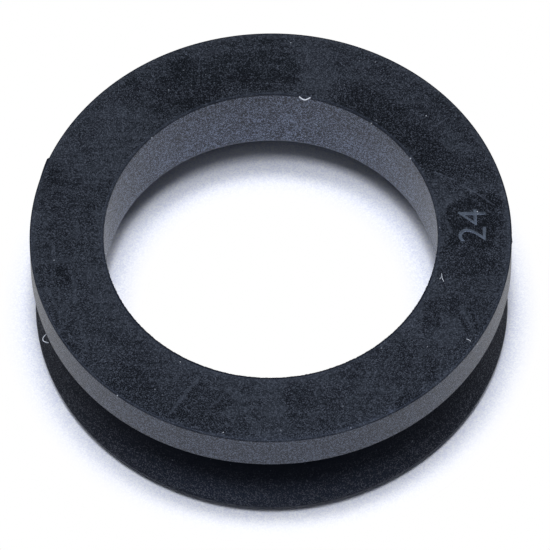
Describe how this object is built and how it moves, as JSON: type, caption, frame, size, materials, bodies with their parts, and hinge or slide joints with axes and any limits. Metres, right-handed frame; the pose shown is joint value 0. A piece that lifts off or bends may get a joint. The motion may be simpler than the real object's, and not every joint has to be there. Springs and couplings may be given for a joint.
{
  "type": "v-ring seal",
  "caption": "Black rubber V-ring shaft seal: a square-sided body ring with a flared sealing lip below an outward-facing V groove.",
  "frame": {"origin": "on the ring's axis, in the plane that the tip of the sealing lip touches, at the bottom of the ring", "axes": "+Z along the ring's axis, from the lip towards the flat back face; X and Y are free, because the ring is round"},
  "size_m": [0.026, 0.026, 0.0075],
  "materials": {
    "black_rubber": "moulded, satin"
  },
  "bodies": {
    "root": {"v_ring": "black_rubber"}
  },
  "joints": []
}
